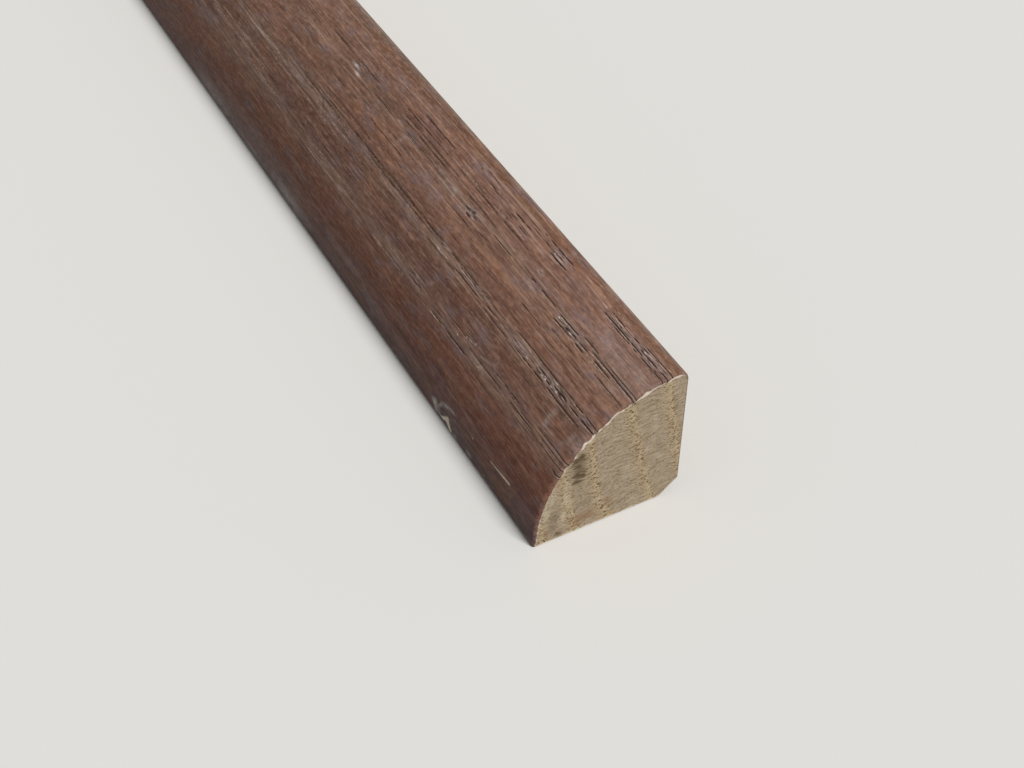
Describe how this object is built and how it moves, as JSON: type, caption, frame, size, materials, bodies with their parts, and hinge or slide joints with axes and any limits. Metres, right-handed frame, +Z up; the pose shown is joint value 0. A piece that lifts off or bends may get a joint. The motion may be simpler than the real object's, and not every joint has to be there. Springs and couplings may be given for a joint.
{
  "type": "quarter round moulding",
  "caption": "Straight quarter round hardwood moulding with a stained curved face, flat floor and wall faces and a bevelled heel; trims the gap where a floor meets a wall or skirting.",
  "frame": {"origin": "middle of the floor face's bounding rectangle, halfway along the length", "axes": "+X along the length, +Y out of the wall face, +Z up from the floor face; the round face looks to -Y and +Z"},
  "size_m": [1.9812, 0.019, 0.019],
  "materials": {
    "stained_oak": "red oak, stained brown and clear lacquered on the round face, bare where sawn and on the hidden faces"
  },
  "bodies": {
    "root": {"quarter_round": "stained_oak"}
  },
  "joints": []
}
